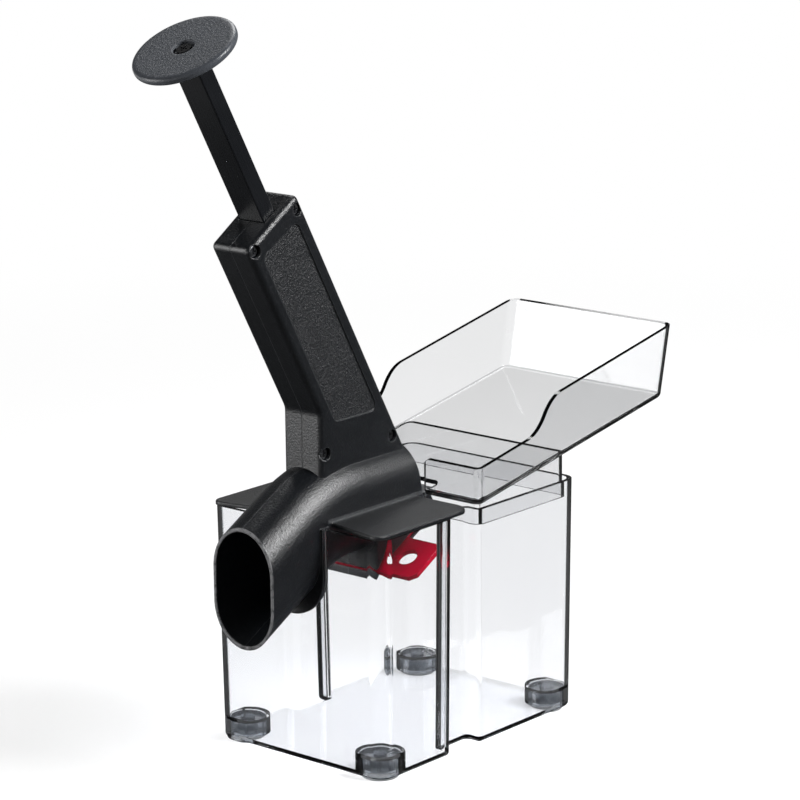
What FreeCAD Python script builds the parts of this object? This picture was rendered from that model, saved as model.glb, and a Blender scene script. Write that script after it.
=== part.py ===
import FreeCAD, Part
import math
import os
from FreeCAD import Vector

# Push-plunger cherry pitter on a clear stone container.
# Units are millimetres. X is the side-to-side direction and X = 0 is the plane of
# symmetry. The discharge chute opens towards -Y, the hopper tray is at +Y, and +Z is up.
# It is drawn with Y = 0 at the middle of the container's length, and saved with Y = 0 at
# the middle of the whole tool's length. Z = 0 is the surface it stands on.

# Container
container_width = 98.0
container_length = 135.2
rim_height = 107.7
base_height = 1.2
wall = 2.2
draft = 0.009
outer_corner = 7.4
waist_depth = 7.5
waist_start = 47.0
waist_end = 65.0
waist_corner = 2.0
foot_height = 9.4
foot_radius = 8.15
foot_inset_x = 10.8
foot_inset_y = 10.6
foot_flutes = 14
flute_radius = 0.9
flute_out = 0.35
flute_low = 2.4
foot_hollow_radius = 3.2
foot_hollow_low = 3.0

# Cut-out in the container's front wall, and the shield that fills it
cutout_radius = 17.5
cutout_centre_z = 86.6
fit_gap = 0.35

# Head: plunger axis, leaning forwards at the top
tilt = math.radians(28.9)
datum_y = -11.2
tube_half_width = 17.0
tube_half_height = 23.2
tube_wall = 1.3
barrel_top_z = 134.0
bend_radius = 60.0
mouth_y = -99.4
mouth_centre_z = 85.7
barrel_end_low_y = -2.0
barrel_end_high_y = -7.0

# Flange that covers the front of the container
flange_half_width = 48.4
flange_front_y = -68.3
flange_middle_y = -62.0
flange_rear_y = -6.3
flange_thickness = 1.8
flange_lift = 0.15

# Block that guides the plunger
block_half_width = 11.0
block_front = 20.5
block_back = 15.3
block_top = 153.8
block_top_back = 156.5
block_bottom_z = 117.0
block_face_y = -61.1
block_rear_along = 12.0
block_round = 2.6
cavity_half_width = 9.0
cavity_front = 18.5
cavity_back = 13.3
cavity_top = 147.5
cavity_floor = 46.0
panel_corner = 3.0
panel_depth = 0.6
panel_front = 14.9
panel_back = 9.5
panel_top = 146.4
panel_bottom_z = 150.8

# Pitting chamber below the flange
chamber_half_width = 15.5
chamber_front = 33.0
chamber_back = 15.5
chamber_depth = 17.0
chamber_top = 7.5
chamber_round = 1.5
pocket_radius = 13.5
pocket_low = -13.0
pocket_high = 14.0
pit_window_radius = 10.5
pit_window_below = 16.0
lip_y = -24.0
inlet_floor_z = 109.6

# Plate that strips the fruit off the pin
stripper_low = 26.2
stripper_high = 28.4
stripper_back = 7.0
stripper_front = 14.0
stripper_half_width = 8.9
stripper_frame_wall = 2.0
pin_way_half_width = 6.8

# Slot for the seat plate, and the plate's finger tab
plate_slot_low = -15.6
plate_slot_high = -13.0
plate_slot_front = 31.3
plate_slot_back = 13.0
plate_slot_shift = 1.2
plate_half_width = 14.0
tab_root = 12.0
tab_front = 30.6
tab_back = 8.6
tab_reach = 34.7
tab_hole_radius = 4.5
tab_hole_across = 23.6
tab_hole_forward = 19.6
ring_radius = 8.0
ring_bore = 4.6

# Plunger and what it carries
shaft_width = 14.0
shaft_depth = 7.85
disc_radius = 22.3
disc_thickness = 3.6
disc_top = 239.4
disc_hole_radius = 4.7
travel = 58.0
slider_bottom = 128.0
slider_top = 145.4
pin_radius = 2.5
pin_tip = 26.4

# Hopper tray
tray_half_width = 47.0
tray_wall = 2.0
tray_front_y = 0.0
tray_rear_y = 134.6
tray_rear_level_z = 130.9
tray_rear_lean = 0.2033
tray_side_lean = 0.01
tray_floor_z = 107.95
tray_slope = math.radians(10.0)
tray_front_round = 3.5
tray_rear_round = 5.0
tray_notch_half_width = 16.0
tray_notch_y = 12.4
notch_round = 3.5
neck_bottom_z = 100.0
neck_rear_y = 62.5
neck_half_width = 46.1
neck_wall = 1.8

tool_middle_y = -2.182
half_length = container_length/2
up_axis = Vector(0, -math.sin(tilt), math.cos(tilt))
forward_axis = Vector(0, -math.cos(tilt), -math.sin(tilt))
side_axis = Vector(1, 0, 0)
datum = Vector(0, datum_y, rim_height)


def save(name, shape):
    """Writes one sub-part to its own file, moved to the middle of the tool's length."""
    shape = shape.copy()
    shape.translate(Vector(0, -tool_middle_y, 0))
    shape.exportStep("parts/" + name + ".step")
    print(name, "solids", len(shape.Solids), "volume", round(shape.Volume/1000, 2), "cm3",
          "valid", shape.isValid())


def in_head(across, forward, along):
    """A point given across, forward of and up along the plunger axis."""
    return datum + side_axis*across + forward_axis*forward + up_axis*along


def box_between(low, high):
    """A box from its low corner to its high corner."""
    size = [high[i] - low[i] for i in range(3)]
    return Part.makeBox(size[0], size[1], size[2], Vector(*low))


def side_prism(points, half_width):
    """A polygon of (y, z) points, extruded to both sides of the symmetry plane."""
    corners = [Vector(-half_width, y, z) for y, z in points]
    face = Part.Face(Part.makePolygon(corners + corners[:1]))
    return face.extrude(Vector(2*half_width, 0, 0))


def head_prism(points, half_width):
    """A polygon of (forward, along) points in the plunger's frame, extruded sideways."""
    spots = [in_head(0, forward, along) for forward, along in points]
    return side_prism([(p.y, p.z) for p in spots], half_width)


def head_box(half_width, back, front, low, high):
    """A box that is square to the plunger axis."""
    return head_prism([(-back, low), (front, low), (front, high), (-back, high)], half_width)


def head_cylinder(radius, low, high, across=0, forward=0):
    """A cylinder along the plunger axis."""
    return Part.makeCylinder(radius, high - low, in_head(across, forward, low), up_axis)


def cross_cylinder(radius, x_low, x_high, spot):
    """A cylinder along X through a point of the side plane."""
    return Part.makeCylinder(radius, x_high - x_low, Vector(x_low, spot.y, spot.z), side_axis)


def rounded_outline(corners, radii, z):
    """A closed wire at height z whose corners are rounded by tangent arcs."""
    count = len(corners)
    starts, middles, ends = [], [], []
    for i in range(count):
        here = Vector(corners[i][0], corners[i][1], z)
        before = (Vector(corners[i - 1][0], corners[i - 1][1], z) - here).normalize()
        after = (Vector(corners[(i + 1) % count][0], corners[(i + 1) % count][1], z) - here).normalize()
        half_angle = before.getAngle(after)/2
        radius = radii[i]
        reach = radius/math.tan(half_angle)
        centre = here + (before + after).normalize()*(radius/math.sin(half_angle))
        starts.append(here + before*reach)
        ends.append(here + after*reach)
        middles.append(centre + (here - centre).normalize()*radius)
    edges = []
    for i in range(count):
        edges.append(Part.Arc(starts[i], middles[i], ends[i]).toShape())
        edges.append(Part.LineSegment(ends[i], starts[(i + 1) % count]).toShape())
    return Part.Wire(edges)


def container_outline(inset, z, rounding=0.0):
    """The container's plan at one height, drawn in by inset on every wall."""
    side = container_width/2 - inset
    waist = container_width/2 - waist_depth - inset
    front = -half_length + inset
    rear = half_length - inset
    waist_front = -half_length + waist_start - inset
    waist_rear = -half_length + waist_end + inset
    right = [(side, front), (side, waist_front), (waist, waist_front),
             (waist, waist_rear), (side, waist_rear), (side, rear)]
    left = [(-x, y) for x, y in reversed(right)]
    outside = outer_corner - rounding
    radii = [outside, waist_corner - rounding/2, waist_corner + rounding/2,
             waist_corner + rounding/2, waist_corner - rounding/2, outside]
    return rounded_outline(right + left, radii + radii[::-1], z)


def loft(low_wire, high_wire):
    """A solid ruled between two wires."""
    return Part.makeLoft([low_wire, high_wire], True, True)


# Container: one clear moulding with drafted walls, a waist on both sides,
# four sockets for feet and a round-bottomed cut-out for the chute.
def wall_inset(z):
    """How far the draft has drawn the walls in at height z."""
    return draft*(rim_height - z)


foot_x = container_width/2 - foot_inset_x
foot_y = half_length - foot_inset_y
foot_spots = {
    "front_left_foot": (-foot_x, -foot_y),
    "front_right_foot": (foot_x, -foot_y),
    "rear_left_foot": (-foot_x, foot_y),
    "rear_right_foot": (foot_x, foot_y),
}
floor_z = base_height + wall
socket_wall = 1.6
socket_radius = foot_radius + 0.2
socket_top = foot_height + 0.2
base_round = 2.0

outer = loft(container_outline(wall_inset(base_height), base_height),
             container_outline(0, rim_height))
base_edges = [e for e in outer.Edges if max(v.Z for v in e.Vertexes) < base_height + 0.01]
outer = outer.makeFillet(base_round, base_edges)
inner_top_z = rim_height + 5
inner = loft(container_outline(wall + wall_inset(floor_z), floor_z, wall),
             container_outline(wall + wall_inset(inner_top_z), inner_top_z, wall))
container = outer.cut(inner)
for x, y in foot_spots.values():
    socket = Part.makeCylinder(socket_radius + socket_wall, socket_top + socket_wall - base_height,
                               Vector(x, y, base_height))
    container = container.fuse(socket.common(outer))
for x, y in foot_spots.values():
    container = container.cut(Part.makeCylinder(socket_radius, socket_top, Vector(x, y, 0)))
cutout_top = rim_height + 1
cutout = Part.makeCylinder(cutout_radius, 8, Vector(0, -half_length - 3, cutout_centre_z), Vector(0, 1, 0))
cutout = cutout.fuse(box_between((-cutout_radius, -half_length - 3, cutout_centre_z),
                                 (cutout_radius, -half_length + 5, cutout_top)))
container = container.cut(cutout).removeSplitter()
save("stone_container", container)


# Feet: fluted rubber plugs pressed up into the sockets, 1.2 mm proud of the base.
def make_foot(x, y):
    """One foot, with flutes around it and a hollow on top."""
    pad_round = 0.8
    plug = Part.makeCylinder(foot_radius, foot_height, Vector(x, y, 0))
    plug = plug.makeFillet(pad_round, [e for e in plug.Edges if len(e.Vertexes) == 1])
    for i in range(foot_flutes):
        angle = 2*math.pi*i/foot_flutes
        reach = foot_radius + flute_out
        spot = Vector(x + reach*math.cos(angle), y + reach*math.sin(angle), flute_low)
        plug = plug.cut(Part.makeCylinder(flute_radius, foot_height, spot))
    return plug.cut(Part.makeCylinder(foot_hollow_radius, foot_height, Vector(x, y, foot_hollow_low)))


for name, (x, y) in foot_spots.items():
    save(name, make_foot(x, y))


# Head: the tube that is the chute and, above the flange, the barrel.
def stadium(half_width, half_height, centre):
    """A stadium across the chute, with its long way along the plunger axis."""
    straight = half_height - half_width
    corner = {}
    for sx in (-1, 1):
        for sn in (-1, 1):
            corner[sx, sn] = centre + side_axis*(sx*half_width) + up_axis*(sn*straight)
    top = centre + up_axis*half_height
    bottom = centre - up_axis*half_height
    return Part.Wire([
        Part.Arc(corner[-1, 1], top, corner[1, 1]).toShape(),
        Part.LineSegment(corner[1, 1], corner[1, -1]).toShape(),
        Part.Arc(corner[1, -1], bottom, corner[-1, -1]).toShape(),
        Part.LineSegment(corner[-1, -1], corner[-1, 1]).toShape()])


climb = Vector(0, math.cos(tilt), math.sin(tilt))
barrel_centre_z = barrel_top_z - tube_half_height
bend_point = Vector(0, mouth_y + (barrel_centre_z - mouth_centre_z)/math.tan(tilt), barrel_centre_z)
bend_reach = bend_radius*math.tan(tilt/2)
tube_start = Vector(0, mouth_y, mouth_centre_z) - climb*25
bend_start = bend_point - climb*bend_reach
bend_end = bend_point + Vector(0, bend_reach, 0)
tube_end = Vector(0, 20, barrel_centre_z)
bend_centre = bend_end - Vector(0, 0, bend_radius)
bend_middle = bend_centre + (bend_point - bend_centre).normalize()*bend_radius
tube_path = Part.Wire([
    Part.LineSegment(tube_start, bend_start).toShape(),
    Part.Arc(bend_start, bend_middle, bend_end).toShape(),
    Part.LineSegment(bend_end, tube_end).toShape()])


def tube(thinner):
    """The swept tube, thinner by a wall, longer than needed at both ends."""
    outline = stadium(tube_half_width - thinner, tube_half_height - thinner, tube_start)
    return tube_path.makePipeShell([outline], True, False)


far = 300
above_barrel = barrel_top_z + 1
tube_trim = side_prism([(mouth_y, 0), (barrel_end_low_y, 0), (barrel_end_low_y, rim_height),
                        (barrel_end_high_y, above_barrel), (mouth_y, above_barrel)], block_half_width*3)
tube_outside = tube(0).common(tube_trim)
tube_inside = tube(tube_wall)

# Block that guides the plunger: slanted, with an upright front face lower down.
knee_along = (datum_y - block_face_y - block_front*math.cos(tilt))/math.sin(tilt)
knee = in_head(0, block_front, knee_along)
block_rear_low = in_head(0, -block_back, block_rear_along)
top_front = in_head(0, block_front, block_top)
top_back = in_head(0, -block_back, block_top_back)
block = side_prism([(top_front.y, top_front.z), (top_back.y, top_back.z),
                    (block_rear_low.y, block_rear_low.z), (block_face_y, block_bottom_z),
                    (block_face_y, knee.z)], block_half_width)
knee_round = 6.0


def is_block_corner(edge):
    """True for the block's long corners and the rim of its top end."""
    middle = edge.CenterOfMass
    ends = [v.Point for v in edge.Vertexes]
    if (middle - datum).dot(up_axis) > block_top - 0.1:
        return True
    on_side = abs(abs(middle.x) - block_half_width) < 0.01
    run = ends[1] - ends[0]
    upright = abs(run.normalize().z) > 0.7
    return on_side and upright and middle.z > block_bottom_z + 1


knee_edges = [e for e in block.Edges if abs(e.CenterOfMass.x) < 0.01 and (e.CenterOfMass - knee).Length < 0.1]
block = block.makeFillet(knee_round, knee_edges)
block = block.makeFillet(block_round, [e for e in block.Edges if is_block_corner(e)])

# Flange over the container, and the pitting chamber under it.
flange_low = rim_height + flange_lift
flange_high = flange_low + flange_thickness
flange_front_round = 4.5
flange_middle_round = 12.0
flange_rear_round = 8.0
flange_edge_round = 0.8
flange_corners = [(flange_half_width, flange_front_y), (flange_half_width, flange_rear_y),
                  (-flange_half_width, flange_rear_y), (-flange_half_width, flange_front_y),
                  (-tube_half_width, flange_middle_y), (tube_half_width, flange_middle_y)]
flange_rounds = [flange_front_round, flange_rear_round, flange_rear_round, flange_front_round,
                 flange_middle_round, flange_middle_round]
flange_wire = rounded_outline(flange_corners, flange_rounds, flange_low)
flange = Part.Face(flange_wire).extrude(Vector(0, 0, flange_thickness))
flange_rim = [e for e in flange.Edges if min(v.Z for v in e.Vertexes) > flange_high - 0.01]
flange = flange.makeFillet(flange_edge_round, flange_rim)
chamber_front_low = in_head(0, chamber_front, -chamber_depth)
chamber_back_low = in_head(0, -chamber_back, -chamber_depth)
chamber_back_top = in_head(0, -chamber_back, -chamber_top)
chamber = side_prism([(chamber_front_low.y, chamber_front_low.z), (chamber_back_low.y, chamber_back_low.z),
                      (chamber_back_top.y, chamber_back_top.z), (chamber_front_low.y, chamber_back_top.z)],
                     chamber_half_width)
chamber_edges = [e for e in chamber.Edges if abs(abs(e.CenterOfMass.x) - chamber_half_width) < 0.01]
chamber = chamber.makeFillet(chamber_round, chamber_edges)


# Shield: a core in the container's cut-out with a lip outside the wall.
def shield_layer(half_width, y_low, y_high):
    """One U-shaped layer of the shield, from its round bottom up to the flange."""
    disc = Part.makeCylinder(half_width, y_high - y_low, Vector(0, y_low, cutout_centre_z), Vector(0, 1, 0))
    return disc.fuse(box_between((-half_width, y_low, cutout_centre_z), (half_width, y_high, flange_low + 0.5)))


wall_outside = -half_length
wall_inside = -half_length + wall + wall_inset(cutout_centre_z - cutout_radius)
lip_thickness = 1.6
lip_width = 0.9
shield = shield_layer(cutout_radius + lip_width, wall_outside - fit_gap - lip_thickness, wall_outside - fit_gap)
shield = shield.fuse(shield_layer(cutout_radius - fit_gap, wall_outside - 1, wall_inside + 1))

# Inlet tongue: a level with the tray's floor that fills the notch in it.
slope = math.tan(tray_slope)


def floor_level(y, above=0.0):
    """The height of the tray's underside, or a level above it."""
    return tray_floor_z + (y - 0.4)*slope + above


notch_gap = 0.4
tongue_root_y = barrel_end_low_y - tube_wall
tongue_end_y = tray_notch_y - notch_gap
tongue_top = tray_wall - 0.1
tongue = side_prism([(tongue_root_y, floor_level(tongue_root_y)), (tongue_end_y, floor_level(tongue_end_y)),
                     (tongue_end_y, floor_level(tongue_end_y, tongue_top)),
                     (tongue_root_y, floor_level(tongue_root_y, tongue_top))],
                    tray_notch_half_width - notch_gap)
tongue_corners = [e for e in tongue.Edges
                  if e.Length < tray_wall + 0.1 and e.CenterOfMass.y > tongue_end_y - 0.1]
tongue = tongue.makeFillet(notch_round, tongue_corners)

head = tube_outside
for piece in (block, flange, chamber, shield, tongue):
    head = head.fuse(piece)
head = head.removeSplitter()

# Hollows of the head. The chute's floor runs up to a lip at the front of the pocket.
lip = Vector(0, lip_y, mouth_centre_z - (tube_half_height - tube_wall)/math.cos(tilt)
             + (lip_y - mouth_y)*math.tan(tilt))
below_floor = side_prism([(mouth_y - 60, lip.z - (lip_y - mouth_y + 60)*math.tan(tilt)), (lip.y, lip.z),
                          (lip.y, inlet_floor_z), (60, inlet_floor_z), (60, 0), (mouth_y - 60, 0)], 60)
stripper_frame = head_box(block_half_width, stripper_back + stripper_frame_wall,
                          stripper_front + stripper_frame_wall, stripper_low - stripper_frame_wall, cavity_floor)
hollow = tube_inside.cut(below_floor).cut(stripper_frame)
pocket = head_cylinder(pocket_radius, pocket_low, pocket_high)
pit_window = head_cylinder(pit_window_radius, -chamber_depth - pit_window_below, 0)
plate_slot = head_box(chamber_half_width, plate_slot_back, plate_slot_front, plate_slot_low, plate_slot_high)
plate_slot.translate(Vector(plate_slot_shift, 0, 0))
pin_way = head_box(pin_way_half_width, stripper_back - 1, stripper_front - 2, 0, cavity_floor + 1)
stripper_slot = head_box(stripper_half_width, stripper_back, stripper_front, stripper_low, stripper_high)
cavity = head_box(cavity_half_width, cavity_back, cavity_front, cavity_floor, cavity_top)
shaft_gap = 0.3
shaft_way = head_box(shaft_width/2 + shaft_gap, shaft_depth/2 + shaft_gap, shaft_depth/2 + shaft_gap,
                     cavity_top - 1, block_top_back + 5)


def along_axis(edge):
    """True for a straight edge that runs along the plunger's axis."""
    ends = [v.Point for v in edge.Vertexes]
    return len(ends) == 2 and abs((ends[0] - ends[1]).normalize().dot(up_axis)) > 0.99


for void in (hollow, pocket, pit_window, plate_slot, pin_way, stripper_slot, cavity, shaft_way):
    head = head.cut(void)


# Sunk panels on both cheeks of the block.
def panel_along(forward):
    """Where the panel's level lower edge lies along the axis."""
    return (panel_bottom_z - rim_height + forward*math.sin(tilt))/math.cos(tilt)


panel = head_prism([(panel_front, panel_top), (-panel_back, panel_top), (-panel_back, panel_along(-panel_back)),
                    (panel_front, panel_along(panel_front))], block_half_width + 5)
panel_corners = [e for e in panel.Edges if e.Length > 2*block_half_width]
panel = panel.makeFillet(panel_corner, panel_corners)
panel = panel.cut(head_box(block_half_width - panel_depth, 60, 60, 0, 200))
head = head.cut(panel)

# Screw holes: heads are sunk in the right shell, threads bite in the left shell.
screw_spots = [in_head(0, -11.8, 150.6), in_head(0, 17.0, 150.6),
               Vector(0, -58.0, 137.8), Vector(0, -15.1, 137.4)]
screw_head_radius = 2.5
screw_head_height = 1.9
screw_radius = 1.3
screw_seat_x = 7.6
screw_end_x = -8.0
screw_head_round = 0.6
recess_depth = 1.1
recess_reach = 1.5
recess_half_width = 0.35
for spot in screw_spots:
    head = head.cut(cross_cylinder(screw_head_radius + 0.3, screw_seat_x, block_half_width + 5, spot))
    head = head.cut(cross_cylinder(screw_radius + 0.05, screw_end_x - 0.5, screw_seat_x + 1, spot))

right_shell = head.common(box_between((0, -far, -far), (far, far, far)))
left_shell = head.common(box_between((-far, -far, -far), (0, far, far)))
save("right_housing_shell", right_shell)
save("left_housing_shell", left_shell)


# Screws: pan heads with a cross recess, one group of four.
def make_screw(spot):
    """One screw along X, its head towards +X."""
    head_part = cross_cylinder(screw_head_radius, screw_seat_x, screw_seat_x + screw_head_height, spot)
    outer_rim = [e for e in head_part.Edges if len(e.Vertexes) == 1 and e.CenterOfMass.x > screw_seat_x + 1]
    head_part = head_part.makeFillet(screw_head_round, outer_rim)
    shank = cross_cylinder(screw_radius, screw_end_x, screw_seat_x + 0.5, spot)
    recess_low = screw_seat_x + screw_head_height - recess_depth
    for across, tall in ((recess_half_width, recess_reach), (recess_reach, recess_half_width)):
        recess = box_between((recess_low, spot.y - across, spot.z - tall),
                             (recess_low + 3, spot.y + across, spot.z + tall))
        head_part = head_part.cut(recess)
    return head_part.fuse(shank)


save("housing_screws", Part.Compound([make_screw(spot) for spot in screw_spots]))

# Spring seat: a plate on the cavity's floor with a bush that guides the pin.
seat_thickness = 3.0
seat_gap = 0.15
bush_radius = 4.2
bush_bore = pin_radius + 0.06
bush_flange_radius = 5.0
spring_seat = head_box(cavity_half_width - seat_gap, cavity_back - seat_gap, cavity_front - seat_gap,
                       cavity_floor, cavity_floor + seat_thickness)
spring_seat = spring_seat.cut(head_cylinder(bush_radius, cavity_floor - 1, cavity_floor + 10))
save("spring_seat", spring_seat)
seat_top = cavity_floor + seat_thickness
bush = head_cylinder(bush_radius, cavity_floor - 5, seat_top)
bush = bush.fuse(head_cylinder(bush_flange_radius, seat_top, seat_top + 1.0))
bush = bush.cut(head_cylinder(bush_bore, cavity_floor - 6, seat_top + 2)).removeSplitter()
save("pin_guide_bush", bush)

# Return spring: one unbroken wire with open ends, between the seat and the slider.
spring_wire = 1.3
spring_radius = 6.6
spring_turns = 13
spring_low = seat_top
spring_high = slider_bottom + 3.0
slider_pocket_radius = 7.7


def helix_point(turn, low, pitch):
    """A point and the tangent of the spring's centre line after so many turns."""
    angle = 2*math.pi*turn
    spot = side_axis*(spring_radius*math.cos(angle)) + forward_axis*(spring_radius*math.sin(angle))
    run = side_axis*(-2*math.pi*spring_radius*math.sin(angle))
    run = run + forward_axis*(2*math.pi*spring_radius*math.cos(angle)) + up_axis*pitch
    return datum + spot + up_axis*(low + pitch*turn), run.normalize()


def arc_from_tangent(start, knee_spot, end):
    """The arc from start to end whose tangents meet at knee_spot."""
    chord_middle = (start + end)*0.5
    reach = (knee_spot - start).Length
    half_turn = math.atan2((knee_spot - chord_middle).Length, (end - start).Length/2)
    radius = reach/math.tan(half_turn)
    drop = math.sqrt(radius*radius + reach*reach) - radius
    return Part.Arc(start, knee_spot + (chord_middle - knee_spot).normalize()*drop, end).toShape()


def biarc(start, start_run, end, end_run):
    """Two tangent arcs of equal reach that join two points along their tangents."""
    gap = end - start
    both = start_run + end_run
    bend = 2*(1 - start_run.dot(end_run))
    reach = (math.sqrt(gap.dot(both)**2 + bend*gap.dot(gap)) - gap.dot(both))/bend
    first = start + start_run*reach
    second = end - end_run*reach
    middle = (first + second)*0.5
    return [arc_from_tangent(start, first, middle), arc_from_tangent(middle, second, end)]


centre_low = spring_low + spring_wire/2 + 0.1
spring_pitch = (spring_high - spring_low - spring_wire - 0.2)/spring_turns
edges = []
for quarter in range(4*spring_turns):
    here = helix_point(quarter/4, centre_low, spring_pitch)
    there = helix_point((quarter + 1)/4, centre_low, spring_pitch)
    edges = edges + biarc(here[0], here[1], there[0], there[1])
start, start_run = helix_point(0, centre_low, spring_pitch)
wire_section = Part.Wire([Part.Circle(start, start_run, spring_wire/2).toShape()])
spring = Part.Wire(edges).makePipeShell([wire_section], True, False)
save("return_spring", spring)
samples = [helix_point(i/24, centre_low, spring_pitch)[0] for i in range(24*spring_turns + 1)]
least = min((samples[i] - samples[j]).Length for i in range(len(samples)) for j in range(i + 18, len(samples)))
print("spring's least gap to itself", round(least - spring_wire, 2))

# Stripper: a plate that holds the cherry back while the pin is drawn out of it.
plate_fit = 0.1
stripper_bore = pin_radius + 0.6
stripper = head_box(stripper_half_width - plate_fit, stripper_back - plate_fit, stripper_front - plate_fit,
                    stripper_low + plate_fit, stripper_high - plate_fit)
stripper = stripper.cut(head_cylinder(stripper_bore, stripper_low - 1, stripper_high + 1))
save("stripper_plate", stripper)

# Stop ring: a rubber frame under the top end that ends the slider's return quietly.
stop_low = slider_top + 0.3
stop_high = cavity_top - 0.05
stop_ring = head_box(cavity_half_width - seat_gap, cavity_back - seat_gap, cavity_front - seat_gap,
                     stop_low, stop_high)
stop_ring = stop_ring.cut(head_box(shaft_width/2 + 0.6, shaft_depth/2 + 0.6, shaft_depth/2 + 0.6, 100, 200))
save("slider_stop_ring", stop_ring)

# Plunger: a slider in the block's cavity, a rectangular shaft and a round palm disc.
slider_gap = 0.3
socket_depth = 10.0
slider_round = 1.2
slider = head_box(cavity_half_width - slider_gap, cavity_back - slider_gap, cavity_front - slider_gap,
                  slider_bottom, slider_top)
slider = slider.makeFillet(slider_round, [e for e in slider.Edges if along_axis(e)])
slider = slider.cut(head_cylinder(slider_pocket_radius, slider_bottom - 1, slider_bottom + 3.0))
slider = slider.cut(head_box(shaft_width/2, shaft_depth/2, shaft_depth/2, slider_top - socket_depth, slider_top + 5))
slider = slider.cut(head_cylinder(pin_radius, slider_bottom, slider_top))
nut_width = 7.0
nut_height = 3.2
nut_low = slider_bottom + 3.0


def hexagon(width, low, high):
    """A hexagonal prism along the plunger axis, given its width across flats."""
    corner_radius = width/math.sqrt(3)
    corners = []
    for i in range(7):
        angle = math.pi/3*i
        corners.append(in_head(corner_radius*math.cos(angle), corner_radius*math.sin(angle), low))
    return Part.Face(Part.makePolygon(corners)).extrude(up_axis*(high - low))


slider = slider.cut(hexagon(nut_width, nut_low - 1, nut_low + nut_height))
save("plunger_slider", slider)
nut = hexagon(nut_width - 0.1, nut_low + 0.02, nut_low + nut_height - 0.02)
save("pin_clamp_nut", nut.cut(head_cylinder(pin_radius, 100, 200)))

disc_bottom = disc_top - disc_thickness
disc_socket = 1.2
disc_hole_floor = disc_bottom + disc_socket + 0.8
disc_rim_round = 1.5
hole_rim_round = 0.5
shaft_round = 0.6
shaft = head_box(shaft_width/2 - 0.02, shaft_depth/2 - 0.02, shaft_depth/2 - 0.02,
                 slider_top - socket_depth, disc_bottom + disc_socket)
shaft = shaft.makeFillet(shaft_round, [e for e in shaft.Edges if along_axis(e)])
disc_screw_radius = 1.5
disc_screw_depth = 14.0
shaft = shaft.cut(head_cylinder(disc_screw_radius, disc_top - disc_screw_depth, disc_top))
save("plunger_shaft", shaft)

disc = head_cylinder(disc_radius, disc_bottom, disc_top)
disc_rims = [e for e in disc.Edges if len(e.Vertexes) == 1]
disc = disc.makeFillet(disc_rim_round, disc_rims)
disc = disc.cut(head_box(shaft_width/2, shaft_depth/2, shaft_depth/2, disc_bottom - 1, disc_bottom + disc_socket))
disc = disc.cut(head_cylinder(disc_hole_radius, disc_hole_floor, disc_top + 1))
disc = disc.cut(head_cylinder(disc_screw_radius + 0.1, disc_bottom, disc_top + 1))
hole_rim = [e for e in disc.Edges if abs((e.CenterOfMass - in_head(0, 0, disc_top)).Length) < 0.05]
disc = disc.makeFillet(hole_rim_round, hole_rim)
save("palm_disc", disc)

disc_screw_head = 3.2
disc_recess_reach = 1.9
disc_screw = head_cylinder(disc_screw_head, disc_hole_floor, disc_hole_floor + 1.0)
disc_screw = disc_screw.fuse(head_cylinder(disc_screw_radius - 0.02, disc_top - disc_screw_depth + 0.5,
                                           disc_hole_floor + 0.5))
for across, tall in ((recess_half_width, disc_recess_reach), (disc_recess_reach, recess_half_width)):
    disc_screw = disc_screw.cut(head_box(across, tall, tall, disc_hole_floor + 0.35, disc_hole_floor + 3))
save("palm_disc_screw", disc_screw)

# Pin: a steel rod whose end is hollow-ground with a crown of four teeth.
pin_top = slider_top - socket_depth - 0.5
pin = head_cylinder(pin_radius - 0.01, pin_tip, pin_top)
pin_wall = 0.8
pin_hollow_depth = 6.0
tooth_height = 2.5
tooth_gap = 0.8
pin = pin.cut(head_cylinder(pin_radius - pin_wall, pin_tip - 1, pin_tip + pin_hollow_depth))
for across, tall in ((tooth_gap, pin_radius*2), (pin_radius*2, tooth_gap)):
    pin = pin.cut(head_box(across, tall, tall, pin_tip - 1, pin_tip + tooth_height))
save("pitting_pin", pin)

# Seat plate: a red plate in the slot under the pocket, with a tab on the right side.
slot_gap = 0.2
plate_low = plate_slot_low + slot_gap
plate_high = plate_slot_high - slot_gap
plate_body = head_box(plate_half_width, plate_slot_back - slot_gap, plate_slot_front - slot_gap,
                      plate_low, plate_high)


def plate_face(points):
    """A flat shape of (across, forward) points, as thick as the seat plate."""
    corners = [in_head(across, forward, plate_low) for across, forward in points]
    return Part.Face(Part.makePolygon(corners + corners[:1])).extrude(up_axis*(plate_high - plate_low))


tab_corner = 3.0
tab_points = [(tab_root, tab_back), (tab_reach - tab_corner, tab_back), (tab_reach, tab_back + tab_corner),
              (tab_reach, tab_front - tab_corner), (tab_reach - tab_corner, tab_front), (tab_root, tab_front)]
plate = plate_body.fuse(plate_face(tab_points)).removeSplitter()
plate = plate.cut(head_cylinder(ring_radius, plate_low - 1, plate_high + 1))
plate = plate.cut(head_cylinder(tab_hole_radius, plate_low - 1, plate_high + 1, tab_hole_across, tab_hole_forward))
save("cherry_seat_plate", plate)
ring = head_cylinder(ring_radius - 0.02, plate_low, plate_high)
ring = ring.cut(head_cylinder(ring_bore, plate_low - 1, plate_high + 1))
save("pit_seal_ring", ring)


# Hopper tray: clear smoke plastic, open on top, floor sloping to the front. A neck
# under it plugs into the container, and a notch in front lets the barrel's end in.
def tray_outline(inset, z, front_round, rear_round):
    """The tray's plan at one height. The rear wall leans outwards."""
    rear = tray_rear_y + (z - tray_rear_level_z)*tray_rear_lean - inset
    side = tray_half_width + (z - tray_floor_z)*tray_side_lean - inset
    front = tray_front_y + inset
    corners = [(side, front), (side, rear), (-side, rear), (-side, front)]
    radii = [front_round, rear_round, rear_round, front_round]
    return rounded_outline(corners, radii, z)


tray_low_z = 95.0
tray_high_z = 180.0


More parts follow.
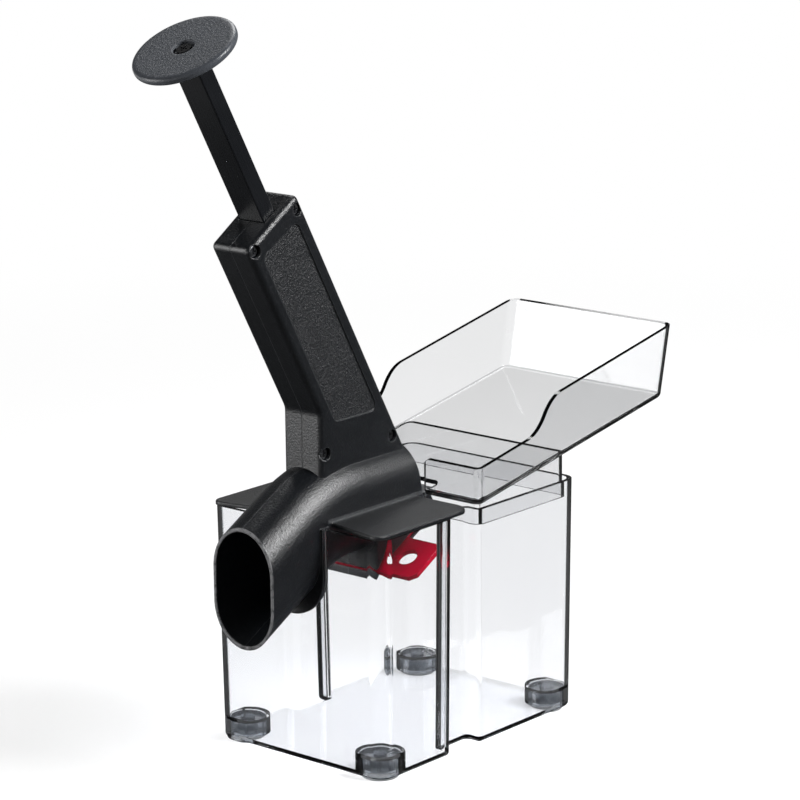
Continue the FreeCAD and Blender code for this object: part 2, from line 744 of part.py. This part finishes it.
def under_floor(above):
    """Everything below a level that is parallel to the tray's floor."""
    return side_prism([(-60, floor_level(-60, above)), (220, floor_level(220, above)), (220, 0), (-60, 0)], 200)


tray_body = loft(tray_outline(0, tray_low_z, tray_front_round, tray_rear_round),
                 tray_outline(0, tray_high_z, tray_front_round, tray_rear_round))
tray_body = tray_body.cut(under_floor(0))
floor_edges = [e for e in tray_body.Edges
               if all(abs(v.Z - floor_level(v.Y)) < 0.01 for v in e.Vertexes)]
tray_body = tray_body.makeFillet(3.0, floor_edges)
tray_space = loft(tray_outline(tray_wall, tray_low_z, tray_front_round - tray_wall, tray_rear_round - tray_wall),
                  tray_outline(tray_wall, tray_high_z, tray_front_round - tray_wall, tray_rear_round - tray_wall))
tray_space = tray_space.cut(under_floor(tray_wall))
space_edges = [e for e in tray_space.Edges
               if all(abs(v.Z - floor_level(v.Y, tray_wall)) < 0.01 for v in e.Vertexes)]
tray_space = tray_space.makeFillet(1.2, space_edges)
tray = tray_body.cut(tray_space)

# The rim: low in front, then an S-curve up to the high rear part.
rim_low_end = Vector(0, 34.0, 130.9)
rim_high_start = Vector(0, 58.5, 148.9)
rim_slope_low = math.tan(math.radians(10.6))
rim_slope_high = math.tan(math.radians(10.9))
rim_front = Vector(0, -40, rim_low_end.z - (rim_low_end.y + 40)*rim_slope_low)
rim_rear = Vector(0, 200, rim_high_start.z + (200 - rim_high_start.y)*rim_slope_high)
low_run = Vector(0, 1, rim_slope_low).normalize()
high_run = Vector(0, 1, rim_slope_high).normalize()
steep_run = Vector(0, 0.62, 1).normalize()
rim_middle = (rim_low_end + rim_high_start)*0.5
rim_edges = [Part.LineSegment(rim_front, rim_low_end).toShape()]
rim_edges = rim_edges + biarc(rim_low_end, low_run, rim_middle, steep_run)
rim_edges = rim_edges + biarc(rim_middle, steep_run, rim_high_start, high_run)
rim_edges.append(Part.LineSegment(rim_high_start, rim_rear).toShape())
above_rear = Vector(0, 200, 260)
above_front = Vector(0, -40, 260)
rim_edges.append(Part.LineSegment(rim_rear, above_rear).toShape())
rim_edges.append(Part.LineSegment(above_rear, above_front).toShape())
rim_edges.append(Part.LineSegment(above_front, rim_front).toShape())
above_rim = Part.Face(Part.Wire(rim_edges))
above_rim.translate(Vector(-200, 0, 0))
tray = tray.cut(above_rim.extrude(Vector(400, 0, 0)))

neck_height = 25
neck_front_round = 3.0
neck_rear_round = 4.6


def neck_layer(inset, z, height):
    """The neck's plan, drawn in by inset, as a solid of one height."""
    side = neck_half_width - inset
    front = tray_front_y + inset
    rear = neck_rear_y - inset
    radii = [neck_front_round - inset, neck_rear_round - inset]
    outline = rounded_outline([(side, front), (side, rear), (-side, rear), (-side, front)],
                              radii + radii[::-1], z)
    return Part.Face(outline).extrude(Vector(0, 0, height))


above_floor = box_between((-far, -far, 0), (far, far, far)).cut(under_floor(tray_wall/2))
neck = neck_layer(0, neck_bottom_z, neck_height).cut(neck_layer(neck_wall, neck_bottom_z - 1, neck_height + 5))
tray = tray.fuse(neck.cut(above_floor))
notch_low_z = 60
notch_high_z = 160
notch = box_between((-tray_notch_half_width, -20, notch_low_z), (tray_notch_half_width, tray_notch_y, notch_high_z))
notch_corners = [e for e in notch.Edges if e.CenterOfMass.y > 0
                 and abs(e.Vertexes[0].Z - e.Vertexes[1].Z) > notch_high_z - notch_low_z - 1]
notch = notch.makeFillet(notch_round, notch_corners)
tray = tray.cut(notch).removeSplitter()

# The front wall's top corners beside the notch are rounded.
front_corner_round = 2.4
front_corners = [e for e in tray.Edges
                 if abs(abs(e.CenterOfMass.x) - tray_notch_half_width) < 0.01
                 and e.CenterOfMass.z > tray_floor_z + 12 and e.CenterOfMass.y < tray_wall]
tray = tray.makeFillet(front_corner_round, front_corners)
save("hopper_tray", tray)
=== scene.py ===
import math

import bmesh
import bpy
from mathutils import Matrix, Vector


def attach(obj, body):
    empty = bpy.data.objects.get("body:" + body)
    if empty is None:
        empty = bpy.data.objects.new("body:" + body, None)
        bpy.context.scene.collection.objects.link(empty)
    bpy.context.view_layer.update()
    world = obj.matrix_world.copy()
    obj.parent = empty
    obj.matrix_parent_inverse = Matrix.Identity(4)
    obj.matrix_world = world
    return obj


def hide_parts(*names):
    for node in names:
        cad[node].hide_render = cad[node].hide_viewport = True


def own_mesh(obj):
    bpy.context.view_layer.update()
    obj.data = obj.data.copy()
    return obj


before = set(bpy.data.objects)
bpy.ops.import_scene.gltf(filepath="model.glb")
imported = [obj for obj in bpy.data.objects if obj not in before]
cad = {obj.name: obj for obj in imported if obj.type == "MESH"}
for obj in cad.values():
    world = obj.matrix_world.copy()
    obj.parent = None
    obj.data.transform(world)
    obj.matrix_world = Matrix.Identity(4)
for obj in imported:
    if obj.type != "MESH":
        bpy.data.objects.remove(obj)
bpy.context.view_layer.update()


# Stone container: one injection moulding in clear styrene, with drafted walls 2.2 mm
# thick, a waist for the hand and a polished inside. It carries both the head and the tray.
class Value:
    """A socket in a finish. Arithmetic on it adds Math nodes."""

    def __init__(self, finish, socket):
        self.finish = finish
        self.socket = socket

    def math(self, operation, *others):
        return self.finish.node("ShaderNodeMath", {"operation": operation}, dict(enumerate((self,) + others)))

    def __add__(self, other):
        return self.math("ADD", other)

    __radd__ = __add__

    def __sub__(self, other):
        return self.math("SUBTRACT", other)

    def __rsub__(self, other):
        return self.finish.node("ShaderNodeMath", {"operation": "SUBTRACT"}, {0: other, 1: self})

    def __mul__(self, other):
        return self.math("MULTIPLY", other)

    __rmul__ = __mul__

    def __abs__(self):
        return self.math("ABSOLUTE")

    def above(self, level):
        """1 where the value is above the level, otherwise 0."""
        return self.math("GREATER_THAN", level)

    def below(self, level):
        """1 where the value is below the level, otherwise 0."""
        return self.math("LESS_THAN", level)

    def ramp(self, low, high):
        """0 at low and 1 at high, with a smooth rise between them."""
        settings = {"interpolation_type": "SMOOTHSTEP", "clamp": True}
        sockets = {"Value": self, "From Min": low, "From Max": high}
        return self.finish.node("ShaderNodeMapRange", settings, sockets)


class Finish:
    """One material, or the world, built from nodes."""

    def __init__(self, name, world=None):
        self.material = world or bpy.data.materials.new(name)
        self.material.use_nodes = True
        self.tree = self.material.node_tree
        self.tree.nodes.clear()
        self.place = self.node("ShaderNodeTexCoord", {}, {}, "Generated" if world else "Object")
        axes = [self.node("ShaderNodeSeparateXYZ", {}, {0: self.place}, i) for i in range(3)]
        self.x, self.y, self.z = axes

    def node(self, kind, settings, sockets, out=0):
        """Adds a node: its settings first, then the values or links of its sockets."""
        made = self.tree.nodes.new(kind)
        for name, value in settings.items():
            setattr(made, name, value)
        for name, value in sockets.items():
            if isinstance(value, Value):
                self.tree.links.new(value.socket, made.inputs[name])
            elif isinstance(value, tuple) and len(value) == 3 and made.inputs[name].type == "RGBA":
                made.inputs[name].default_value = (*value, 1)
            else:
                made.inputs[name].default_value = value
        return Value(self, made.outputs[out]) if made.outputs else None

    def noise(self, scale, detail, roughness=0.5):
        """Even noise in the row's frame; scale is in cycles a metre."""
        sockets = {"Vector": self.place, "Scale": scale, "Detail": detail, "Roughness": roughness}
        return self.node("ShaderNodeTexNoise", {}, sockets)

    def stretched(self, scale, stretch, detail):
        """Noise whose features are drawn out along an axis."""
        place = self.node("ShaderNodeVectorMath", {"operation": "MULTIPLY"}, {0: self.place, 1: stretch})
        return self.node("ShaderNodeTexNoise", {}, {"Vector": place, "Scale": scale, "Detail": detail})

    def mix(self, amount, low, high):
        """A colour between two colours."""
        return self.node("ShaderNodeMix", {"data_type": "RGBA"}, {0: amount, 6: low, 7: high}, 2)

    def bump(self, height, depth, rounding=None):
        """A normal from a height of 0 to 1 that is depth metres deep, over softened edges."""
        sockets = {"Height": height, "Distance": depth}
        if rounding:
            sockets["Normal"] = self.node("ShaderNodeBevel", {"samples": 4}, {"Radius": rounding})
        return self.node("ShaderNodeBump", {}, sockets)

    def edge_wear_and_painted_light(self, radius):
        """0 on flat stretches, rising to 1 on an outer edge or in a corner; finishes use it for edge wear and
        for painted edge highlight and shade.
        """
        soft = self.node("ShaderNodeBevel", {"samples": 6}, {"Radius": radius})
        true = self.node("ShaderNodeNewGeometry", {}, {}, "True Normal")
        along = self.node("ShaderNodeVectorMath", {"operation": "DOT_PRODUCT"}, {0: soft, 1: true}, "Value")
        return (1.0 - along).ramp(0.004, 0.12)

    def plastic(self, sockets):
        """The closing Principled shader."""
        shader = self.node("ShaderNodeBsdfPrincipled", {}, sockets)
        self.close(shader)

    def close(self, shader):
        """Links a shader to the material's output."""
        self.node("ShaderNodeOutputMaterial", {}, {"Surface": shader})

    def on(self, *pieces):
        """Puts the finish on CAD nodes or pieces."""
        for piece in pieces:
            piece.data.materials.clear()
            piece.data.materials.append(self.material)


def clear_plastic(name, tint, shade, dark, roughness, line, body=None):
    """A clear moulding. Where its faces turn edge-on, light runs off along the wall and they look dark; that
    darkness is painted shade: a dark colour on its fillets and sharp edges, and a dark-tinted glass mixed in
    where it is seen edge-on.
    """
    finish = Finish(name)
    waves = finish.noise(26, 2, 0.4)
    marks = finish.stretched(420, (1, 1, 0.12), 4).ramp(0.62, 0.75)
    facing = finish.node("ShaderNodeNewGeometry", {}, {}, "Normal")
    upright = finish.node("ShaderNodeSeparateXYZ", {}, {0: facing}, 2)
    # painted shade: fillets between upright and level faces, and sharp edges, are drawn in the dark colour
    painted_fillet_shade = (4.0*upright*upright*(1.0 - upright*upright)).ramp(0.45, 0.95)
    edge = painted_fillet_shade.math("MAXIMUM", finish.edge_wear_and_painted_light(0.0004))*line
    clear = finish.mix(waves, tint, shade)
    # painted light: where body gives 0, the moulding keeps the plain tint and is drawn lighter
    if body:
        clear = finish.mix(body(finish), tint, clear)
    colour = finish.mix(edge*(0.7 + 0.3*waves), clear, dark)
    normal = finish.bump(waves + 0.03*marks, 0.000012)
    glow_through = finish.node("ShaderNodeBsdfPrincipled", {}, {
        "Base Color": colour, "Roughness": roughness + 0.05*marks, "IOR": 1.49,
        "Transmission Weight": 1.0, "Normal": normal})
    # painted shade: a dark-tinted glass for faces seen edge-on
    edge_on_painted_shade = finish.node("ShaderNodeBsdfPrincipled", {}, {
        "Base Color": dark, "Roughness": 0.06, "IOR": 1.49, "Transmission Weight": 1.0, "Normal": normal})
    grazing = finish.node("ShaderNodeLayerWeight", {}, {"Blend": 0.5}, "Facing").ramp(0.6, 0.88)
    grazing = grazing*(1.0 - abs(upright)).ramp(0.3, 0.8)
    seen_plastic = finish.node("ShaderNodeMixShader", {}, {0: grazing*0.9, 1: glow_through, 2: edge_on_painted_shade})
    through = finish.node("ShaderNodeBsdfTransparent", {}, {"Color": shade})
    shadow = finish.node("ShaderNodeLightPath", {}, {}, "Is Shadow Ray")
    finish.close(finish.node("ShaderNodeMixShader", {}, {0: shadow, 1: seen_plastic, 2: through}))
    return finish


# The container's dark colour is painted shade on its edges, fillets and edge-on faces.
clear_styrene = clear_plastic("clear_styrene", tint=(0.98, 0.984, 0.992), shade=(0.955, 0.962, 0.978),
                              dark=(0.02, 0.03, 0.045), roughness=0.012, line=0.8)
clear_styrene.on(cad["stone_container"])


# Feet: four fluted plugs of grey translucent rubber, pushed up into sockets in the
# container's corners. Their pads stand 1.2 mm proud, and within 1.6 mm of the table they are darker and
# rougher.
near_table_height = 0.0016
foot_rubber = Finish("foot_rubber")
foot_near_table = foot_rubber.z.ramp(near_table_height, 0.0)
foot_mottle = foot_rubber.noise(900, 4)
foot_rubber.plastic({
    "Base Color": foot_rubber.mix(foot_near_table*foot_mottle, (0.36, 0.385, 0.415), (0.2, 0.21, 0.225)),
    "Roughness": 0.08 + 0.4*foot_near_table + 0.08*foot_mottle,
    "Transmission Weight": 0.85,
    "IOR": 1.45,
    "Normal": foot_rubber.bump(foot_mottle, 0.00004, 0.0004)})
foot_rubber.on(cad["front_left_foot"], cad["front_right_foot"], cad["rear_left_foot"], cad["rear_right_foot"])


# Housing: two half shells in anthracite ABS, split down the middle and screwed
# together. The mould leaves a fine satin grain, and the cheeks have a coarser sunk panel.
lean = math.radians(28.9)
head_datum = (-0.009018, 0.1077)
panel_floor_x = 0.0099
panel_rim_x = 0.01055
panel_rear = -0.0095
panel_front = 0.0149
panel_top = 0.1464
panel_low_z = 0.1508
seam_half_width = 0.00012
mouth_y = -0.0972
burr_reach = 0.00045
chute_top_z = 0.12
flange_low_z = 0.1094
flange_high_z = 0.1112
flange_root_x = 0.0186
flange_front_y = -0.062


def head_lines(finish):
    """How far forward of and how far up the plunger's axis a point lies."""
    y = finish.y - head_datum[0]
    z = finish.z - head_datum[1]
    return -math.cos(lean)*y - math.sin(lean)*z, -math.sin(lean)*y + math.cos(lean)*z


housing = Finish("anthracite_grain")
forward, along = head_lines(housing)
in_panel = abs(housing.x).above(panel_floor_x)*forward.above(panel_rear)*forward.below(panel_front)
in_panel = in_panel*along.below(panel_top)*housing.z.above(panel_low_z)*abs(housing.x).below(panel_rim_x)
fine = housing.noise(1050, 3, 0.7)
coarse = housing.noise(900, 3, 0.75)
patches = housing.noise(38, 3)
glints = housing.node("ShaderNodeTexVoronoi", {}, {"Vector": housing.place, "Scale": 1500.0}).below(0.12)
edge = housing.edge_wear_and_painted_light(0.0007)
seam = abs(housing.x).below(seam_half_width)
grain = fine*(1.0 - in_panel) + in_panel*coarse*2.8 - 1.5*seam
housing_tone = housing.mix(patches, (0.0045, 0.0056, 0.0074), (0.008, 0.0096, 0.0122))
# painted glints: light flecks in the grain's colour stand in for grain facets catching the light
painted_glint_speckle = fine.ramp(0.5, 0.72)
housing_tone = housing.mix(painted_glint_speckle*0.16, housing_tone, (0.06, 0.065, 0.074))
at_mouth = housing.y.below(mouth_y + burr_reach)*housing.z.below(chute_top_z)
burr = at_mouth*housing.noise(420, 3, 0.8).ramp(0.3, 0.55)
# painted highlight: a light line along the flange's join with the barrel
painted_junction_highlight = housing.z.above(flange_low_z)*housing.z.below(flange_high_z)
painted_junction_highlight = painted_junction_highlight*abs(housing.x).below(flange_root_x)*housing.y.above(flange_front_y)
# lighter edges: partly wear, partly painted highlight on the rounded edges
housing_tone = housing.mix(edge*(0.15 + 0.5*fine), housing_tone, (0.12, 0.126, 0.135))
# painted glints: light flecks in the sunk panel's colour
housing_tone = housing.mix(in_panel*glints*0.8, housing_tone, (0.22, 0.226, 0.24))
housing_tone = housing.mix(painted_junction_highlight*(0.3 + 0.5*painted_glint_speckle), housing_tone, (0.16, 0.165, 0.172))
housing_tone = housing.mix(burr*0.7, housing_tone, (0.3, 0.3, 0.31))
housing.plastic({
    "Base Color": housing_tone,
    "Roughness": 0.21 + 0.14*fine + 0.06*patches + 0.06*in_panel,
    "Specular IOR Level": 0.75,
    "Normal": housing.bump(grain, 0.00022, 0.0008)})
housing.on(cad["right_housing_shell"], cad["left_housing_shell"])


# Housing screws: zinc-plated self-tapping screws with a cross recess, four of one
# kind, sunk in the right shell. The plating's brightness varies with a fine noise.
screw_zinc = Finish("screw_zinc")
turning = screw_zinc.noise(2200, 3)
screw_zinc.plastic({
    "Base Color": screw_zinc.mix(turning, (0.1, 0.105, 0.115), (0.34, 0.35, 0.37)),
    "Metallic": 1.0,
    "Roughness": 0.2 + 0.22*turning,
    "Normal": screw_zinc.bump(turning, 0.00002, 0.0001)})
screw_zinc.on(cad["housing_screws"], cad["pin_clamp_nut"])


# Plunger shaft and slider: moulded in the same anthracite as the housing, but with
# smooth faces that rub in the block, so that fine lines run along the shaft.
shaft_plastic = Finish("shaft_plastic")
shaft_forward, shaft_along = head_lines(shaft_plastic)
rub_line = {0: shaft_plastic.x, 1: shaft_forward, 2: shaft_along*0.02}
rub_place = shaft_plastic.node("ShaderNodeCombineXYZ", {}, rub_line)
rubs = shaft_plastic.node("ShaderNodeTexNoise", {}, {"Vector": rub_place, "Scale": 2400.0, "Detail": 3.0})
shaft_cloud = shaft_plastic.noise(60, 3)
shaft_edge = shaft_plastic.edge_wear_and_painted_light(0.0005)
shaft_tone = shaft_plastic.mix(shaft_cloud, (0.005, 0.0058, 0.0075), (0.009, 0.0102, 0.0126))
shaft_plastic.plastic({
    "Base Color": shaft_plastic.mix(shaft_edge*rubs*0.6, shaft_tone, (0.05, 0.055, 0.062)),
    "Roughness": 0.18 + 0.14*rubs + 0.06*shaft_cloud,
    "Normal": shaft_plastic.bump(rubs, 0.00002, 0.0004)})
shaft_plastic.on(cad["plunger_shaft"], cad["plunger_slider"])


# Palm disc: a moulded disc in dark grey ABS, held on the shaft's end by one screw. Hands
# have polished its rim, and the rest keeps the mould's leather-like grain.
disc_plastic = Finish("disc_plastic")
disc_forward = head_lines(disc_plastic)[0]
disc_radius = 0.0223
from_axis = (disc_forward*disc_forward + disc_plastic.x*disc_plastic.x).math("SQRT")
polished = from_axis.ramp(disc_radius - 0.0026, disc_radius - 0.0006)
leather = disc_plastic.noise(950, 4, 0.7)
disc_cloud = disc_plastic.noise(70, 3)
disc_edge = disc_plastic.edge_wear_and_painted_light(0.0007)
disc_tone = disc_plastic.mix(disc_cloud, (0.072, 0.079, 0.092), (0.1, 0.109, 0.124))
disc_plastic.plastic({
    "Base Color": disc_plastic.mix(disc_edge*leather*0.7, disc_tone, (0.16, 0.167, 0.18)),
    "Roughness": 0.36 + 0.15*leather - 0.16*polished,
    "Normal": disc_plastic.bump(leather*(1.0 - 0.75*polished), 0.0004, 0.0006)})
disc_plastic.on(cad["palm_disc"])


# Palm disc screw: a blackened steel screw with a cross recess. It sits deep in the
# disc's centre hole and holds the disc on the shaft.
screw_black = Finish("screw_black")
black_wear = screw_black.noise(1900, 3)
screw_black.plastic({
    "Base Color": screw_black.mix(black_wear, (0.008, 0.008, 0.009), (0.03, 0.031, 0.033)),
    "Metallic": 0.6,
    "Roughness": 0.35 + 0.2*black_wear,
    "Normal": screw_black.bump(black_wear, 0.00002, 0.0001)})
screw_black.on(cad["palm_disc_screw"])


# Pitting pin: a ground stainless rod. The grinding wheel has left rings round it, and
# its crown of four teeth is bright.
pin_steel = Finish("pin_steel")
pin_forward, pin_along = head_lines(pin_steel)
ring_line = {0: pin_along*3.0, 1: pin_steel.x*0.1, 2: pin_forward*0.1}
ring_place = pin_steel.node("ShaderNodeCombineXYZ", {}, ring_line)
rings = pin_steel.node("ShaderNodeTexNoise", {}, {"Vector": ring_place, "Scale": 900.0, "Detail": 4.0})
pin_steel.plastic({
    "Base Color": pin_steel.mix(rings, (0.5, 0.5, 0.5), (0.72, 0.72, 0.71)),
    "Metallic": 1.0,
    "Roughness": 0.16 + 0.2*rings,
    "Normal": pin_steel.bump(rings, 0.00001, 0.0001)})
pin_steel.on(cad["pitting_pin"])


# Guide parts inside the block: spring seat, pin bush and stripper, turned or moulded
# in natural acetal, which is waxy and slightly uneven in colour.
acetal = Finish("natural_acetal")
wax = acetal.noise(240, 4)
acetal.plastic({
    "Base Color": acetal.mix(wax, (0.62, 0.6, 0.55), (0.76, 0.75, 0.71)),
    "Roughness": 0.32 + 0.18*wax,
    "Subsurface Weight": 0.1,
    "Subsurface Scale": 0.001,
    "Normal": acetal.bump(wax, 0.00003, 0.0002)})
acetal.on(cad["spring_seat"], cad["pin_guide_bush"], cad["stripper_plate"])


# Rubber rings: the stop under the block's top and the ring in the seat plate that the
# stone is driven through. Both are punched from black sheet.
ring_rubber = Finish("ring_rubber")
crumb = ring_rubber.noise(1600, 4)
ring_rubber.plastic({
    "Base Color": ring_rubber.mix(crumb, (0.012, 0.012, 0.013), (0.032, 0.032, 0.034)),
    "Roughness": 0.5 + 0.25*crumb,
    "Normal": ring_rubber.bump(crumb, 0.00006, 0.0002)})
ring_rubber.on(cad["slider_stop_ring"], cad["pit_seal_ring"])


# Return spring: 13 open turns of 1.3 mm stainless wire between the spring seat and the
# slider. In use it shortens along the plunger's axis as the disc is pressed; the coil built here keeps one
# length and moves with the head.
spring_wire = 0.0013
spring_radius = 0.0066
spring_turns = 13
spring_low = 0.04975
spring_rise = 0.0806
spring_pitch = spring_rise/spring_turns
coil_sides = 12
axis_up = Vector((0, -math.sin(lean), math.cos(lean)))
axis_forward = Vector((0, -math.cos(lean), -math.sin(lean)))
axis_datum = Vector((0, *head_datum))


def wire_mesh(name, centres, runs, radius, sides):
    """A closed tube along a line of centres, with a domed cap at each end."""
    cap_height = 0.3*radius
    mesh = bmesh.new()
    rings_made = []
    for centre, run in zip(centres, runs):
        across = run.cross(axis_up).normalized()
        other = run.cross(across)
        ring = []
        for i in range(sides):
            angle = 2*math.pi*i/sides
            ring.append(mesh.verts.new(centre + (across*math.cos(angle) + other*math.sin(angle))*radius))
        rings_made.append(ring)
    for ring, following in zip(rings_made, rings_made[1:]):
        for i in range(sides):
            j = (i + 1) % sides
            mesh.faces.new((ring[i], ring[j], following[j], following[i]))
    for end, sign in ((0, -1), (-1, 1)):
        ring = rings_made[end]
        tip = mesh.verts.new(centres[end] + runs[end]*(sign*cap_height))
        for i in range(sides):
            mesh.faces.new((ring[i], ring[(i + 1) % sides], tip))
    bmesh.ops.recalc_face_normals(mesh, faces=mesh.faces)
    data = bpy.data.meshes.new(name)
    mesh.to_mesh(data)
    mesh.free()
    data.shade_smooth()
    piece = bpy.data.objects.new(name, data)
    bpy.context.scene.collection.objects.link(piece)
    return piece


coil_steps = 24
coil_centres = []
coil_runs = []
for step in range(coil_steps*spring_turns + 1):
    angle = 2*math.pi*step/coil_steps
    rise = spring_low + spring_pitch*step/coil_steps
    outward = Vector((math.cos(angle), 0, 0)) + axis_forward*math.sin(angle)
    turning_run = Vector((-math.sin(angle), 0, 0)) + axis_forward*math.cos(angle)
    coil_centres.append(axis_datum + outward*spring_radius + axis_up*rise)
    coil_runs.append((turning_run*(2*math.pi*spring_radius) + axis_up*spring_pitch).normalized())
coil = wire_mesh("return_coil", coil_centres, coil_runs, spring_wire/2, coil_sides)
spring_steel = Finish("spring_steel")
drawing = spring_steel.noise(1300, 3)
spring_steel.plastic({
    "Base Color": spring_steel.mix(drawing, (0.36, 0.36, 0.35), (0.58, 0.58, 0.57)),
    "Metallic": 1.0,
    "Roughness": 0.26 + 0.2*drawing,
    "Normal": spring_steel.bump(drawing, 0.00001)})
spring_steel.on(coil)
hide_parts("return_spring")
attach(coil, "head")
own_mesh(coil)


# Seat plate: deep red glossy styrene, pushed in from the side under the chamber. It
# lets a little light through, and its finger tab stands out to the right.
red_plate = Finish("red_plate")
red_flow = red_plate.noise(90, 3)
red_marks = red_plate.noise(1500, 3).ramp(0.6, 0.8)
red_plate.plastic({
    "Base Color": red_plate.mix(red_flow, (0.56, 0.0004, 0.024), (0.68, 0.001, 0.038)),
    "Roughness": 0.1 + 0.1*red_marks + 0.04*red_flow,
    "Transmission Weight": 0.45,
    "IOR": 1.5,
    "Normal": red_plate.bump(red_flow, 0.0001, 0.0004)})
red_plate.on(cad["cherry_seat_plate"])


# Hopper tray: one moulding in smoke-tinted clear styrene, open on top. Its floor falls
# to the front and its neck plugs into the container.
floor_start_z = 0.1075
floor_slope = 0.1763


def tray_above_neck(finish):
    """1 in the tray itself, 0 in the neck under its floor, which keeps the plain tint and is drawn lighter:
    painted light.
    """
    return (finish.z - (floor_start_z + finish.y*floor_slope)).above(0.0)


# The tray's dark colour is painted shade on its edges, fillets and edge-on faces.
smoke_styrene = clear_plastic("smoke_styrene", tint=(0.93, 0.933, 0.94), shade=(0.91, 0.914, 0.92),
                              dark=(0.3, 0.306, 0.318), roughness=0.015, line=0.6, body=tray_above_neck)
smoke_styrene.on(cad["hopper_tray"])


# Floor: plain white studio table. The eye and clear plastic see it white; dark gloss
# sees it fall off towards the object, as black cards round a product make it.
floor_mesh = bpy.data.meshes.new("studio_floor")
floor_half = 8.0
floor_corners = [(-floor_half, -floor_half, 0), (floor_half, -floor_half, 0),
                 (floor_half, floor_half, 0), (-floor_half, floor_half, 0)]
floor_mesh.from_pydata(floor_corners, [], [(0, 1, 2, 3)])
floor = bpy.data.objects.new("studio_floor", floor_mesh)
bpy.context.scene.collection.objects.link(floor)


def ray_kinds(finish):
    """How much of a ray sees the set as the eye does, as a gloss does, and as a soft face does."""
    kinds = ("Is Camera Ray", "Is Transmission Ray", "Is Glossy Ray", "Glossy Depth", "Diffuse Depth")
    paths = [finish.node("ShaderNodeLightPath", {}, {}, kind) for kind in kinds]
    seen, through, mirrored, mirrors, softs = paths
    plain = softs.below(0.5)
    eye = (seen + through).math("MINIMUM", 1.0)*plain*mirrors.below(0.5)
    gloss = (through + mirrored).math("MINIMUM", 1.0)*plain*mirrors.above(0.5)
    return eye, gloss, (1.0 - eye - gloss).math("MAXIMUM", 0.0)


table = Finish("white_table")
table_eye, table_gloss = ray_kinds(table)[:2]
table_reach = (table.x*table.x + table.y*table.y).math("SQRT")
table_far = table_reach.ramp(0.2, 0.9)
table_end = table_reach.ramp(0.3, 1.1)
table_front_left = (-0.65*table.x - 0.76*table.y).ramp(0.33, 0.62)
paper_fade = (table_end + 0.9*table_gloss).math("MINIMUM", 1.0)
paper_colour = table.mix(paper_fade, (0.42, 0.42, 0.42), (0.0, 0.0, 0.0))
paper = table.node("ShaderNodeBsdfDiffuse", {}, {"Color": paper_colour})
glow_seen = table_eye*(0.66 + 0.34*table_end)
glow_mirrored = table_gloss*(0.02 + 0.03*table_far + 0.91*table_front_left)
glow = table.node("ShaderNodeEmission", {}, {"Color": (1, 1, 1), "Strength": glow_seen + glow_mirrored})
table.close(table.node("ShaderNodeAddShader", {}, {0: paper, 1: glow}))
table.on(floor)


# Light: a dim room, the key soft box on the right, a weaker one above and behind on
# the left, and a low one in front for the dark fronts.
world = bpy.data.worlds.new("studio")
bpy.context.scene.world = world
room = Finish("studio", world)
room_eye, room_gloss, room_soft = ray_kinds(room)
horizon = 1.0 - room.z.ramp(0.12, 0.45)
dome = 0.03 + 0.1*horizon
level = room_eye*(1.0 - 0.8*room.z.ramp(0.05, 0.3)) + room_gloss*dome + 0.1*room_soft
sky = room.node("ShaderNodeBackground", {}, {"Color": (1, 1, 1), "Strength": level})
room.node("ShaderNodeOutputWorld", {}, {"Surface": sky})


def soft_box(name, place, aim, size, power):
    """A square area lamp that points at a spot."""
    data = bpy.data.lights.new(name, "AREA")
    data.size = size
    data.energy = power
    lamp = bpy.data.objects.new(name, data)
    bpy.context.scene.collection.objects.link(lamp)
    lamp.location = place
    lamp.rotation_euler = (Vector(aim) - Vector(place)).to_track_quat("-Z", "Y").to_euler()


soft_box("top_box", place=(-0.45, 0.62, 1.12), aim=(0, 0, 0.12), size=0.6, power=6.0)
soft_box("right_box", place=(0.97, 0.36, 0.88), aim=(0, 0, 0.12), size=0.42, power=17.5)
soft_box("front_box", place=(-0.65, -0.85, 0.3), aim=(0, 0, 0.15), size=0.6, power=5.0)


# Camera: a long lens a little above the tray, turned to the right of the chute and
# aimed at the middle of the tool.
camera_azimuth = math.radians(40.65)
camera_elevation = math.radians(13.71)
camera_roll = math.radians(-0.585)
camera_distance = 1.4351
camera_aim = Vector((-0.00269, 0.008272, 0.14707))
camera_data = bpy.data.cameras.new("camera")
camera_data.sensor_fit = "HORIZONTAL"
camera_data.sensor_width = 36
camera_data.lens = 146.85
camera_data.clip_end = 50
camera = bpy.data.objects.new("camera", camera_data)
bpy.context.scene.collection.objects.link(camera)
back = Vector((math.sin(camera_azimuth)*math.cos(camera_elevation),
               -math.cos(camera_azimuth)*math.cos(camera_elevation), math.sin(camera_elevation)))
right = Vector((math.cos(camera_azimuth), math.sin(camera_azimuth), 0))
up = back.cross(right)
camera_x = right*math.cos(camera_roll) + up*math.sin(camera_roll)
camera_y = up*math.cos(camera_roll) - right*math.sin(camera_roll)
turn = Matrix((camera_x, camera_y, back)).transposed().to_4x4()
camera.matrix_world = Matrix.Translation(camera_aim + back*camera_distance) @ turn
bpy.context.scene.camera = camera
bpy.context.scene.view_settings.view_transform = "Standard"
